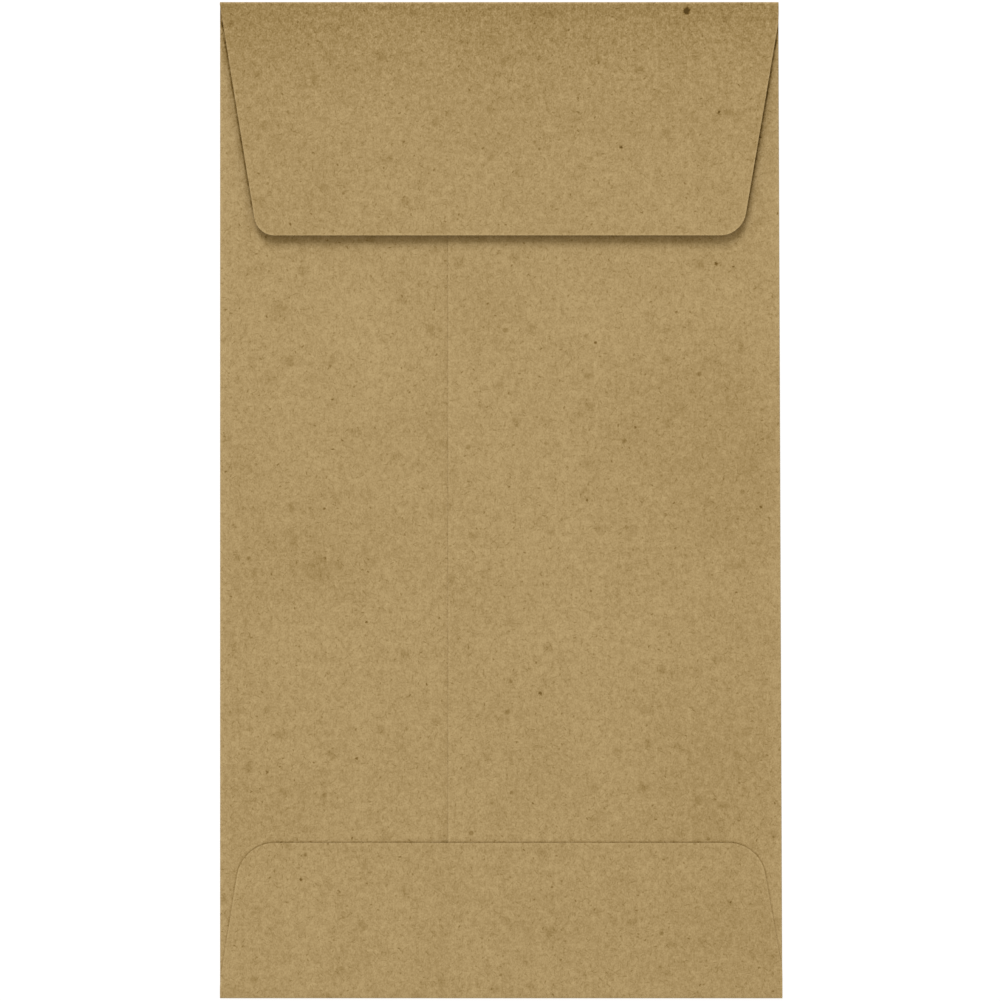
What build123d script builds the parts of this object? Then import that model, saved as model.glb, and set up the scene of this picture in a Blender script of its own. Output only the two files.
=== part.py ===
from build123d import *
import os

# A coin envelope folded and glued from one die-cut sheet. It lies on its face panel.
# X runs across it, +Y up to the closing fold, +Z out of the face towards the flaps.
# The outsides of the folds mark its width and height, and Y = 0 is at mid height.

# Envelope, fold to fold (mm)
envelope_width = 85.725  # at mid height
envelope_height = 152.4
fold_lean = 0.6  # how much wider the envelope is at the bottom fold than at the closing fold

# Sheet, and the air between its layers
paper_thickness = 0.13
pocket_gap = 0.30  # between the face and the narrow seam panel
flap_clearance = 0.05  # between the wide seam panel and the root of the closing flap

# Seam panels
seam_offset = -8.1  # cut edge of the wide panel, from the middle of the envelope
seam_overlap = 11.0  # how far the narrow panel runs on under the wide one
throat_drop = 1.5  # from the closing fold down to the mouth of the pocket
panel_relief = 0.8  # from the bottom fold up to the lower ends of the seam panels

# Bottom flap, glued over the seam panels
bottom_flap_depth = 23.95
bottom_flap_inset = 3.4  # taper of each side, at the flap's free edge
bottom_flap_shoulders = (2.6, 4.3)  # left and right, from the fold to where the taper starts
bottom_flap_corner = 5.5
seam_ramp = 1.5  # width over which the flap climbs onto the wide panel

# Closing flap, folded down and left loose
closing_flap_depth = 35.7
closing_flap_inset = 5.7
closing_flap_shoulders = (1.7, 4.4)
closing_flap_corner = 3.1
closing_flap_lift = 1.5  # degrees that the flap springs up from the panels

# Construction
half_turn = 180  # degrees
fold_foot = 2.0  # strip of the face that is drawn with each side fold
trim_margin = 2.0  # how far stock and cutting outlines run past what they make

# Layer heights, and the height over each fold, which closes round the layers inside it
narrow_panel_top = 2 * paper_thickness + pocket_gap
wide_panel_top = narrow_panel_top + paper_thickness
narrow_fold = narrow_panel_top
wide_fold = wide_panel_top
low_bottom_fold = narrow_panel_top + paper_thickness
high_bottom_fold = wide_panel_top + paper_thickness
closing_fold = wide_panel_top + flap_clearance + paper_thickness
trim_height = closing_fold + closing_flap_depth

# Fold lines
bottom_y = -envelope_height / 2
top_y = envelope_height / 2
left_x = -(envelope_width + fold_lean / 2) / 2
right_x_bottom = -left_x
panel_bottom_y = bottom_y + panel_relief
throat_y = top_y - throat_drop
panel_length = throat_y - panel_bottom_y


def right_x(y):
    """X of the right fold line at a height y: it leans out towards the bottom fold."""
    return right_x_bottom - fold_lean * (y - bottom_y) / envelope_height


def fold_plane(x, y, inward):
    """Plane across a fold line at (x, y): its X points into the envelope and its Y points up."""
    return Plane(origin=(x, y, 0), x_dir=inward, z_dir=inward.cross(Vector(0, 0, 1)))


def fold_section(plane, fold_height, foot, leg, turn=half_turn):
    """The sheet cut across a fold: a foot on the ground, a round bend and a leg turned back over it."""
    radius = fold_height / 2
    with BuildSketch(plane) as section:
        with BuildLine():
            sole = Line((foot, 0), (radius, 0))
            bend = JernArc(sole @ 1, sole % 1, radius, -turn)
            Line(bend @ 1, bend @ 1 + leg * (bend % 1))
            offset(amount=paper_thickness, side=Side.RIGHT)
        make_face()
    return section.sketch


def flap_outline(fold_y, inward, depth, inset, shoulders, corner):
    """A flap seen from above: full width at its fold, tapered from its shoulders to a round-cornered edge."""
    past_y = fold_y - inward * trim_margin
    left_shoulder_y = fold_y + inward * shoulders[0]
    right_shoulder_y = fold_y + inward * shoulders[1]
    edge_y = fold_y + inward * depth
    with BuildSketch() as outline:
        Polygon(
            (left_x, past_y),
            (right_x(past_y), past_y),
            (right_x(right_shoulder_y), right_shoulder_y),
            (right_x(edge_y) - inset, edge_y),
            (left_x + inset, edge_y),
            (left_x, left_shoulder_y),
            align=None,
        )
        edge_corners = outline.vertices().group_by(Axis.Y)[0 if inward < 0 else -1]
        fillet(edge_corners, corner)
    return outline.sketch


# Face panel, flat between the strips that belong to its four folds
with BuildPart() as face_panel:
    with BuildSketch():
        Polygon(
            (left_x + narrow_fold, panel_bottom_y),
            (right_x(panel_bottom_y) - wide_fold, panel_bottom_y),
            (right_x(throat_y) - wide_fold, throat_y),
            (left_x + narrow_fold, throat_y),
            align=None,
        )
    extrude(amount=paper_thickness)

# Narrow seam panel, folded in from the left
with BuildPart() as narrow_panel:
    narrow_plane = fold_plane(left_x, (panel_bottom_y + throat_y) / 2, Vector(1, 0, 0))
    narrow_leg = seam_offset + seam_overlap - left_x - narrow_fold / 2
    narrow_section = fold_section(narrow_plane, narrow_fold, fold_foot, narrow_leg)
    extrude(narrow_section, amount=panel_length / 2, both=True)

# Wide seam panel, folded in along the leaning right fold and cut off at the seam
with BuildPart() as wide_panel:
    into_envelope = Vector(-envelope_height, -fold_lean, 0).normalized()
    wide_plane = fold_plane(right_x(0), 0, into_envelope)
    wide_leg = right_x_bottom - seam_offset + trim_margin
    wide_section = fold_section(wide_plane, wide_fold, fold_foot, wide_leg)
    extrude(wide_section, amount=envelope_height / 2 + trim_margin, both=True)
    with BuildSketch():
        with Locations((seam_offset, panel_bottom_y)):
            Rectangle(wide_leg, panel_length, align=(Align.MIN, Align.MIN))
    extrude(amount=trim_height, mode=Mode.INTERSECT)

# Bottom flap, low on the narrow panel and one sheet higher on the wide one
with BuildPart() as bottom_flap:
    inward = Vector(0, 1, 0)
    bottom_leg = bottom_flap_depth + trim_margin
    ramp_x = seam_offset - seam_ramp
    low_plane = fold_plane(ramp_x, bottom_y, inward)
    high_plane = fold_plane(seam_offset, bottom_y, inward)
    low_end = fold_section(low_plane, low_bottom_fold, panel_relief, bottom_leg)
    high_end = fold_section(high_plane, high_bottom_fold, panel_relief, bottom_leg)
    extrude(low_end, amount=left_x - trim_margin - ramp_x)
    loft([low_end, high_end], ruled=True)
    extrude(high_end, amount=right_x_bottom + trim_margin - seam_offset)
    bottom_outline = flap_outline(
        bottom_y, 1, bottom_flap_depth, bottom_flap_inset, bottom_flap_shoulders, bottom_flap_corner
    )
    extrude(bottom_outline, amount=trim_height, mode=Mode.INTERSECT)

# Closing flap, loose and springing up from its fold
with BuildPart() as closing_flap:
    closing_plane = fold_plane(0, top_y, Vector(0, -1, 0))
    closing_leg = closing_flap_depth + trim_margin
    closing_turn = half_turn - closing_flap_lift
    closing_section = fold_section(closing_plane, closing_fold, throat_drop, closing_leg, closing_turn)
    extrude(closing_section, amount=right_x_bottom + trim_margin, both=True)
    closing_outline = flap_outline(
        top_y, -1, closing_flap_depth, closing_flap_inset, closing_flap_shoulders, closing_flap_corner
    )
    extrude(closing_outline, amount=trim_height, mode=Mode.INTERSECT)

# The whole sheet
with BuildPart() as envelope:
    add(face_panel.part)
    add(narrow_panel.part)
    add(wide_panel.part)
    add(bottom_flap.part)
    add(closing_flap.part)
envelope.part.label = "envelope"

os.makedirs("parts", exist_ok=True)
export_step(envelope.part, "parts/envelope.step")
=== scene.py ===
"""A brown kraft coin envelope, folded from one sheet and lying flaps up on a plain pale floor."""

import logging
import math
from collections.abc import Callable, Iterable
from dataclasses import dataclass, field
from enum import Enum
from typing import TypeAlias

import bpy
import numpy as np
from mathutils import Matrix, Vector


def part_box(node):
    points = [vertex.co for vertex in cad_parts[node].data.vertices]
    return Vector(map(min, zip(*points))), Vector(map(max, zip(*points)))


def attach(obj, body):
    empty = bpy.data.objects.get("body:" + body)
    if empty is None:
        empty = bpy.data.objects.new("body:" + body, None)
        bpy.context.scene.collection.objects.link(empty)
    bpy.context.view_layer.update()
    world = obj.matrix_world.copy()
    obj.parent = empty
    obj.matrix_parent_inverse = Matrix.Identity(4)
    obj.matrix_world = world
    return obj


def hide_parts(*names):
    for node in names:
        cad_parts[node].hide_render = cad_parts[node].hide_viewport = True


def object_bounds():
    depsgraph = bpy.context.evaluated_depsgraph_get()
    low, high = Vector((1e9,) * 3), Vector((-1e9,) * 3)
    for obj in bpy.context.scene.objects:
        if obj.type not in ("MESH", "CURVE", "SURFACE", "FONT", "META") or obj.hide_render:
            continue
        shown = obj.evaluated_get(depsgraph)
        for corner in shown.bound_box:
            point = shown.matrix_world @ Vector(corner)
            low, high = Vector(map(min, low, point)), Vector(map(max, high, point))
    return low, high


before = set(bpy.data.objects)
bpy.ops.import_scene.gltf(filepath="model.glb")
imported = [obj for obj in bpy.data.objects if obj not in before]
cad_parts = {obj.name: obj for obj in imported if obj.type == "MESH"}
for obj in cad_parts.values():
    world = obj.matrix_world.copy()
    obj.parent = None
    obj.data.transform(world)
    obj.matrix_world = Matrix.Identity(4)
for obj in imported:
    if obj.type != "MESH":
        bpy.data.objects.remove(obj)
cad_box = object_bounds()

Array: TypeAlias = np.ndarray
Source: TypeAlias = bpy.types.NodeSocket | float

log = logging.getLogger("envelope")

MM = 0.001
HALF_TURN = math.pi
INNER_SIDE_SHIFT = 10.0 * MM  # between the two sides of the sheet, so that no mark shows through
CUT_REACH = 3.0 * MM  # longest distance from a cut or a flap that the mesh tells


def smooth_step(low: float, high: float, value: Array) -> Array:
    """Ease from 0 at low to 1 at high.

    Args:
        low: Where the result leaves 0.
        high: Where the result reaches 1.
        value: The numbers to ease.

    Returns:
        One number from 0 to 1 for each value.
    """
    share = np.clip((value - low) / (high - low), 0.0, 1.0)
    return share * share * (3.0 - 2.0 * share)


def segment_distances(points: Array, line: Array) -> Array:
    """Distance from each point to the nearest part of a line of straight runs.

    Args:
        points: The points, as rows of x and y.
        line: The corners of the line, in order, as rows of x and y.

    Returns:
        One distance for each point.
    """
    start = line[:-1]
    run = line[1:] - start
    away = points[:, None, :] - start[None]
    share = np.clip((away * run[None]).sum(axis=2) / np.maximum((run**2).sum(axis=1), 1e-18), 0.0, 1.0)
    return np.sqrt(((away - share[..., None] * run[None]) ** 2).sum(axis=2)).min(axis=1)


class End(Enum):
    """The two ends of the envelope that have a flap, and which way is inward from each."""

    BOTTOM = 1
    TOP = -1


class Panel(Enum):
    """The parts of the sheet that a mark in the paper can lie on."""

    NARROW = "narrow seam panel"
    WIDE = "wide seam panel"
    BOTTOM_FLAP = "bottom flap"
    CLOSING_FLAP = "closing flap"


@dataclass(frozen=True)
class Outline:
    """Fold lines of the envelope, seen from above."""

    left: float
    right_at_bottom: float
    bottom: float
    top: float
    lean: float = 0.6 * MM

    @classmethod
    def of_node(cls, node: str) -> "Outline":
        """Read the fold lines from the box of a CAD node.

        Args:
            node: Name of the node that holds the folded sheet.

        Returns:
            The outline of that sheet.
        """
        low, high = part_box(node)
        return cls(left=low.x, right_at_bottom=high.x, bottom=low.y, top=high.y)

    def right(self, y: Array | float) -> Array | float:
        """X of the right fold line, which leans out towards the bottom."""
        return self.right_at_bottom - self.lean * (y - self.bottom) / (self.top - self.bottom)

    @property
    def lean_angle(self) -> float:
        """Angle of the right fold line from the vertical."""
        return math.atan2(self.lean, self.top - self.bottom)


@dataclass(frozen=True)
class Layers:
    """Heights of the middle of the sheet in every layer of the folded envelope."""

    outline: Outline
    sheet: float = 0.13 * MM
    pocket_gap: float = 0.30 * MM
    glue_film: float = 0.01 * MM
    flap_clearance: float = 0.05 * MM
    seam_x: float = -8.1 * MM
    seam_ramp: float = 3.0 * MM
    seam_lift: float = 0.03 * MM
    seam_lift_reach: float = 0.5 * MM
    billow: float = 0.22 * MM
    wave: float = 0.035 * MM
    bottom_flap_depth: float = 23.80 * MM
    bottom_flap_lift: float = 0.11 * MM
    bottom_flap_lift_reach: float = 1.1 * MM
    closing_flap_depth: float = 35.77 * MM
    closing_flap_rise: float = 0.96 * MM
    closing_flap_twist: float = 0.10 * MM

    def face(self, x: Array, y: Array) -> Array:
        """Middle of the face panel, flat on the floor."""
        return np.full(np.broadcast(x, y).shape, self.sheet / 2)

    def bulge(self, x: Array, y: Array) -> Array:
        """How far the seam panels stand up from their flat place: a slack pocket and gentle waves.

        Args:
            x: Across the envelope.
            y: Up the envelope.

        Returns:
            The rise at each point, nothing at the four folds.
        """
        across = np.clip((x - self.outline.left) / (self.outline.right(y) - self.outline.left), 0.0, 1.0)
        along = np.clip((y - self.outline.bottom) / (self.outline.top - self.outline.bottom), 0.0, 1.0)
        dome = np.sin(np.pi * across) ** 2 * np.sin(np.pi * along) ** 2
        ripple = np.sin(13.0 * across + 1.1) * np.sin(7.0 * along + 0.4) + 0.6 * np.sin(5.0 * across - 17.0 * along)
        fade = np.sin(np.pi * across) * np.sin(np.pi * along)
        return self.billow * dome + self.wave * ripple * fade

    def narrow_panel(self, x: Array, y: Array) -> Array:
        """Middle of the narrow seam panel."""
        return self.pocket_gap + 1.5 * self.sheet + self.bulge(x, y)

    def wide_panel(self, x: Array, y: Array) -> Array:
        """Middle of the wide seam panel, glued on the narrow one with a margin that lifts at the seam.

        Args:
            x: Across the envelope.
            y: Up the envelope.

        Returns:
            The height at each point.
        """
        bottom_flap_edge = self.outline.bottom + self.bottom_flap_depth
        free = smooth_step(bottom_flap_edge - 1.0 * MM, bottom_flap_edge + 2.0 * MM, y)
        uneven = 0.75 + 0.25 * np.sin(y * 310.0) * np.sin(y * 97.0 + 0.5)
        lift = self.seam_lift * free * uneven * np.exp(-np.maximum(x - self.seam_x, 0.0) / self.seam_lift_reach)
        return self.narrow_panel(x, y) + self.sheet + self.glue_film + lift

    def bottom_flap(self, x: Array, y: Array) -> Array:
        """Middle of the bottom flap, which climbs onto the wide panel and lifts a little at its edge.

        Args:
            x: Across the envelope.
            y: Up the envelope.

        Returns:
            The height at each point.
        """
        climb = smooth_step(self.seam_x - self.seam_ramp, self.seam_x, x)
        from_edge = np.maximum(self.outline.bottom + self.bottom_flap_depth - y, 0.0)
        uneven = 0.8 + 0.2 * np.sin(x * 260.0 + 0.7) * np.sin(x * 75.0)
        across = (x - self.outline.left) / (self.outline.right(y) - self.outline.left)
        lift = self.bottom_flap_lift * uneven * np.exp(-from_edge / self.bottom_flap_lift_reach)
        lift = lift * smooth_step(0.0, 0.12, across) * smooth_step(0.0, 0.12, 1.0 - across)
        step = self.sheet + self.glue_film
        return self.narrow_panel(x, y) + step + step * climb + lift

    def closing_flap(self, x: Array, y: Array) -> Array:
        """Middle of the closing flap, loose and springing up from its fold.

        Args:
            x: Across the envelope.
            y: Up the envelope.

        Returns:
            The height at each point.
        """
        root = self.pocket_gap + 3.5 * self.sheet + self.flap_clearance
        reach = np.clip((self.outline.top - y) / self.closing_flap_depth, 0.0, 1.0)
        middle = (self.outline.left + self.outline.right_at_bottom) / 2
        across = (x - middle) / (self.outline.right_at_bottom - middle)
        rise = self.closing_flap_rise * (1.0 - (1.0 - reach) ** 2.2)
        twist = self.closing_flap_twist * across * reach
        bow = 0.06 * MM * (1.0 - across**2) * reach
        return root + rise + twist + bow


@dataclass(frozen=True)
class Patch:
    """A grid of points on the middle of the sheet.

    Attributes:
        place: Where each point lies on the folded envelope, rows by columns by 3.
        blank: Where each point lies on the flat blank, rows by columns by 2.
        crease: How sharply the sheet bends at each point, from 0 to 1, rows by columns.
        flap_gap: How far each point lies outside the bottom and the closing flap, seen from above.
    """

    place: Array
    blank: Array
    crease: Array
    flap_gap: Array | None = None


@dataclass(frozen=True)
class FlapCut:
    """Outline of a flap: full width at its fold, tapered from its shoulders, with two round corners."""

    outline: Outline
    end: End
    depth: float
    inset: float
    shoulders: tuple[float, float]
    corners: tuple[float, float]

    @property
    def corner(self) -> float:
        """Radius of the larger corner."""
        return max(self.corners)

    @property
    def fold_y(self) -> float:
        """Y of the fold that the flap hangs on."""
        return self.outline.bottom if self.end is End.BOTTOM else self.outline.top

    @property
    def edge_y(self) -> float:
        """Y of the flap's free edge."""
        return self.fold_y + self.end.value * self.depth

    def side_inset(self, reach: Array, shoulder: float, corner: float) -> Array:
        """How far a side edge stands in from the fold line.

        Args:
            reach: Distance from the flap's fold.
            shoulder: Where this side starts to taper, from the fold.
            corner: Radius of this side's corner.

        Returns:
            The inset at each reach, round at the corner.
        """
        taper = math.atan2(self.inset, self.depth - shoulder)
        centre_reach = self.depth - corner
        tangent_reach = centre_reach + corner * math.sin(taper)
        tangent_inset = (tangent_reach - shoulder) * math.tan(taper)
        centre_inset = tangent_inset + corner * math.cos(taper)
        straight = np.maximum(reach - shoulder, 0.0) * math.tan(taper)
        rise = np.clip(reach - centre_reach, 0.0, corner)
        round_part = centre_inset - np.sqrt(np.maximum(corner**2 - rise**2, 0.0))
        return np.where(reach > tangent_reach, round_part, straight)

    def sides(self, reach: Array) -> tuple[Array, Array]:
        """X of the left and right side edges at a distance from the fold."""
        y = self.fold_y + self.end.value * reach
        left = self.outline.left + self.side_inset(reach, self.shoulders[0], self.corners[0])
        right = self.outline.right(y) - self.side_inset(reach, self.shoulders[1], self.corners[1])
        return left, right

    def gap(self, x: Array, y: Array) -> Array:
        """How far points lie outside the flap's outline, seen from above.

        Args:
            x: Across the envelope.
            y: Up the envelope.

        Returns:
            The distance to the outline, below 0 under the flap.
        """
        corner_start = self.depth - self.corner
        reach = np.concatenate([np.linspace(0.0, corner_start, 40), self.rows(corner_start, self.depth, 40)])
        left, right = self.sides(reach)
        edge = np.concatenate([np.column_stack([left, reach]), np.column_stack([right, reach])[::-1]])
        point = np.column_stack([np.ravel(x), self.end.value * (np.ravel(y) - self.fold_y)])
        distance = np.concatenate([segment_distances(part, edge) for part in np.array_split(point, 60)])
        side_left, side_right = self.sides(np.clip(point[:, 1], 0.0, self.depth))
        inside = (point[:, 1] < self.depth) & (point[:, 0] > side_left) & (point[:, 0] < side_right)
        return np.where(inside, -distance, distance).reshape(np.shape(x))

    def rows(self, start: float, spacing: float, arc_steps: int) -> Array:
        """Distances from the fold for the rows of the flap's grid.

        Args:
            start: Distance of the first row, which is left out.
            spacing: Distance between the rows of the straight part.
            arc_steps: Number of rows round the corners.

        Returns:
            The distances, closer together towards the free edge.
        """
        shoulder = sum(self.shoulders) / 2
        taper = math.atan2(self.inset, self.depth - shoulder)
        arc_start = self.depth - self.corner * (1.0 - math.sin(taper))
        count = max(2, round((arc_start - start) / spacing))
        straight = np.linspace(start, arc_start, count + 1)[1:]
        angles = np.linspace(taper, math.pi / 2, arc_steps + 1)[1:]
        arc = self.depth - self.corner * (1.0 - np.sin(angles))
        return np.concatenate([straight, arc])


@dataclass
class FoldedSheet:
    """Makes the grids of the whole sheet, from the face panel out through its four folds.

    Attributes:
        outline: The fold lines.
        layers: The heights of the layers.
        seam_overlap: How far the narrow panel runs on under the wide one.
        throat_drop: From the closing fold down to the mouth of the pocket.
        panel_relief: From the bottom fold up to the lower ends of the seam panels.
        spacing: Distance between grid lines away from edges.
        bend_steps: Number of steps round each fold.
        fold_paleness_spill: How much of a side fold's crease, with its paleness that is partly painted light, reaches
            onto the flat beside it.
        fold_paleness_spill_reach: How far it reaches there.
        edge_steps: Distances of the grid lines next to a cut edge.
    """

    outline: Outline
    layers: Layers
    seam_overlap: float = 11.0 * MM
    throat_drop: float = 1.5 * MM
    panel_relief: float = 0.8 * MM
    spacing: float = 1.35 * MM
    bend_steps: int = 12
    fold_paleness_spill: float = 0.17
    fold_paleness_spill_reach: float = 0.7 * MM
    edge_steps: tuple[float, ...] = (0.0, 0.12 * MM, 0.30 * MM, 0.65 * MM, 1.2 * MM)
    cuts: dict[End, FlapCut] = field(init=False)

    def __post_init__(self) -> None:
        """Work out the two flap outlines."""
        self.cuts = {
            End.BOTTOM: FlapCut(
                self.outline,
                End.BOTTOM,
                depth=self.layers.bottom_flap_depth,
                inset=3.4 * MM,
                shoulders=(2.6 * MM, 4.3 * MM),
                corners=(5.9 * MM, 5.6 * MM),
            ),
            End.TOP: FlapCut(
                self.outline,
                End.TOP,
                depth=self.layers.closing_flap_depth,
                inset=5.78 * MM,
                shoulders=(0.3 * MM, 2.8 * MM),
                corners=(3.1 * MM, 4.0 * MM),
            ),
        }

    def bend_radius(self, height: Callable[[Array, Array], Array], x: Array, y: Array) -> Array:
        """Radius of the middle of the sheet round a fold, from the height of the layer that it leads to."""
        return (height(x, y) - self.layers.sheet / 2) / 2

    @property
    def left_bend(self) -> float:
        """Reach of the left fold, from the fold line to the flat of the face panel."""
        middle_y = (self.outline.bottom + self.outline.top) / 2
        radius = self.bend_radius(self.layers.narrow_panel, np.array(self.outline.left), np.array(middle_y))
        return float(radius) + self.layers.sheet / 2

    @property
    def right_bend(self) -> float:
        """Reach of the right fold, from the fold line to the flat of the face panel."""
        middle_y = (self.outline.bottom + self.outline.top) / 2
        x = self.outline.right(middle_y)
        radius = self.bend_radius(self.layers.wide_panel, np.array(x), np.array(middle_y))
        return float(radius) + self.layers.sheet / 2

    def end_bend(self, end: End) -> float:
        """Largest reach of an end fold, from the fold line to the flat of the face panel."""
        x = np.linspace(self.outline.left, self.outline.right_at_bottom, 9)
        fold_y = np.full_like(x, self.cuts[end].fold_y)
        return float(np.max(self.bend_radius(self.flap_height(end), x, fold_y))) + self.layers.sheet / 2

    def flap_height(self, end: End) -> Callable[[Array, Array], Array]:
        """The height function of the flap at one end."""
        return self.layers.bottom_flap if end is End.BOTTOM else self.layers.closing_flap

    def columns(self) -> Array:
        """Shares of the face panel's width at which its columns stand, closer together by the seam."""
        width = self.outline.right_at_bottom - self.outline.left
        even = np.linspace(0.0, 1.0, round(width / self.spacing) + 1)
        seam = (self.layers.seam_x - self.outline.left) / width
        close = seam + np.array([-2.6, -2.0, -1.4, -0.8, -0.3, 0.2, 0.8]) * MM / width
        near_edges = np.array([0.4, 0.8]) * MM / width
        shares = np.unique(np.concatenate([even, close, near_edges, 1.0 - near_edges]))
        keep = np.concatenate([[True], np.diff(shares) > 0.1 * MM / width])
        return shares[keep]

    def face_rows(self) -> Array:
        """Y of the face panel's rows between the lower ends and the mouth of the seam panels."""
        low = self.outline.bottom + self.panel_relief
        high = self.outline.top - self.throat_drop
        even = np.linspace(low, high, round((high - low) / self.spacing) + 1)
        edge = self.outline.bottom + self.layers.bottom_flap_depth
        close = edge + np.array([-0.6, 0.0, 0.6, 1.3, 2.0]) * MM
        rows = np.unique(np.concatenate([even, close]))
        keep = np.concatenate([[True], np.diff(rows) > 0.15 * MM])
        return rows[keep]

    def face_x(self, shares: Array, y: Array) -> Array:
        """X of the face panel's columns at each row, between its two side folds."""
        left = self.outline.left + self.left_bend
        right = self.outline.right(y) - self.right_bend / math.cos(self.outline.lean_angle)
        return left + (right - left) * shares

    def flat_patch(self, x: Array, y: Array) -> Patch:
        """A patch of the face panel, whose blank lies where it lies itself."""
        place = np.stack([x, y, self.layers.face(x, y)], axis=-1)
        return Patch(place, place[..., :2].copy(), np.zeros(x.shape))

    def face_panel(self) -> Patch:
        """The face panel between the ends of the seam panels."""
        shares, rows = np.meshgrid(self.columns(), self.face_rows())
        return self.flat_patch(self.face_x(shares, rows), rows)

    def end_strip(self, end: End) -> Patch:
        """The full-width strip of the face panel beside an end fold.

        Args:
            end: Which end of the envelope.

        Returns:
            A patch from the seam panels' ends to where the fold starts to bend.
        """
        cut = self.cuts[end]
        panel_end = self.panel_relief if end is End.BOTTOM else self.throat_drop
        reach = np.linspace(self.end_bend(end), panel_end, 3)
        rows = cut.fold_y + end.value * reach
        rows[-1] = self.face_rows()[0 if end is End.BOTTOM else -1]
        shares, y = np.meshgrid(self.columns(), rows)
        x = self.face_x(shares, y)
        left = np.full((len(rows), 1), self.outline.left)
        right = self.outline.right(y[:, :1])
        x = np.concatenate([left, x, right], axis=1)
        y = np.concatenate([y[:, :1], y, y[:, :1]], axis=1)
        return self.flat_patch(x, y)

    def seam_panel(self, right_side: bool) -> Patch:
        """A side fold and the seam panel beyond it.

        Args:
            right_side: Whether it is the wide panel, which folds in from the right.

        Returns:
            A patch from the face panel's side to the panel's cut edge.
        """
        rows = self.face_rows()
        height = self.layers.wide_panel if right_side else self.layers.narrow_panel
        turn = self.outline.lean_angle if right_side else HALF_TURN
        outward = np.array([math.cos(turn), math.sin(turn)])
        edge_x = self.layers.seam_x if right_side else self.layers.seam_x + self.seam_overlap
        start_x = self.face_x(np.ones(1) if right_side else np.zeros(1), rows[:, None])[:, 0]
        start = np.stack([start_x, rows], axis=-1)
        radius = (self.right_bend if right_side else self.left_bend) - self.layers.sheet / 2

        angles = np.linspace(0.0, HALF_TURN, self.bend_steps + 1)
        bend_xy = start[:, None, :] + outward * (radius * np.sin(angles))[None, :, None]
        bend_z = self.layers.sheet / 2 + radius * (1.0 - np.cos(angles))
        bend_z = np.broadcast_to(bend_z, bend_xy.shape[:2])

        length = (start_x - edge_x) / outward[0]
        count = round(float(length.mean()) / self.spacing)
        near = np.array(self.edge_steps)[::-1]
        far = np.linspace(0.0, 1.0, count)[1:]
        legs = np.concatenate(
            [far * (length[:, None] - near[0]), length[:, None] - near[None, 1:]], axis=1
        )
        leg_xy = start[:, None, :] - outward * legs[..., None]
        leg_z = height(leg_xy[..., 0], leg_xy[..., 1])

        place = np.concatenate(
            [np.dstack([bend_xy, bend_z]), np.dstack([leg_xy, leg_z])], axis=1
        )
        arc = np.broadcast_to(radius * angles, bend_xy.shape[:2])
        along = np.concatenate([arc, radius * HALF_TURN + legs], axis=1)
        blank = start[:, None, :] + outward * along[..., None]
        # Paleness beside the side folds, partly painted light.
        paleness_spill = self.fold_paleness_spill * np.exp(-legs / self.fold_paleness_spill_reach)
        crease = np.concatenate([np.broadcast_to(np.maximum(np.sin(angles), self.fold_paleness_spill), arc.shape), paleness_spill], axis=1)
        gaps = [self.cuts[end].gap(place[..., 0], place[..., 1]) for end in End]
        return Patch(place, blank, crease, np.stack(gaps, axis=-1))

    def flap(self, end: End) -> Patch:
        """An end fold and the flap beyond it.

        Args:
            end: Which end of the envelope.

        Returns:
            A patch from the face panel's end to the flap's free edge.
        """
        cut = self.cuts[end]
        height = self.flap_height(end)
        start = self.end_bend(end)
        start_y = cut.fold_y + end.value * start
        start_x = self.end_strip(end).place[0, :, 0]
        shares = (start_x - start_x[0]) / (start_x[-1] - start_x[0])

        fold_y = np.full_like(start_x, cut.fold_y)
        radius = self.bend_radius(height, start_x, fold_y)
        flat = start - (radius + self.layers.sheet / 2)
        bend_length = flat + HALF_TURN * radius
        along_bend = np.linspace(0.0, 1.0, self.bend_steps + 1)[:, None] * bend_length
        angle = np.clip((along_bend - flat) / radius, 0.0, HALF_TURN)
        before = np.minimum(along_bend, flat)
        bend_y = start_y - end.value * (before + radius * np.sin(angle))
        bend_z = self.layers.sheet / 2 + radius * (1.0 - np.cos(angle))
        bend_x = np.broadcast_to(start_x, bend_y.shape)

        reach = cut.rows(start, self.spacing, 9)
        lip = cut.depth - np.array(self.edge_steps[1:3])[::-1]
        reach = np.unique(np.round(np.concatenate([reach, lip]), 9))
        left, right = cut.sides(reach)
        leg_x = left[:, None] + (right - left)[:, None] * shares
        share = (reach - start) / (cut.depth - start)
        bend_end = radius + self.layers.sheet / 2
        leg_reach = bend_end + (cut.depth - bend_end) * share[:, None]
        leg_y = cut.fold_y + end.value * leg_reach
        leg_z = height(leg_x, leg_y)

        place = np.concatenate(
            [np.dstack([bend_x, bend_y, bend_z]), np.dstack([leg_x, leg_y, leg_z])], axis=0
        )
        along = np.concatenate([along_bend, bend_length + leg_reach - bend_end], axis=0)
        blank = np.dstack([place[..., 0], start_y - end.value * along])
        crease = np.concatenate([np.sin(angle), np.zeros(leg_x.shape)], axis=0)
        return Patch(place, blank, crease)

    def patches(self) -> list[Patch]:
        """Every patch of the sheet, which together cover the blank once."""
        return [
            self.face_panel(),
            self.end_strip(End.BOTTOM),
            self.end_strip(End.TOP),
            self.seam_panel(right_side=False),
            self.seam_panel(right_side=True),
            self.flap(End.BOTTOM),
            self.flap(End.TOP),
        ]

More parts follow.
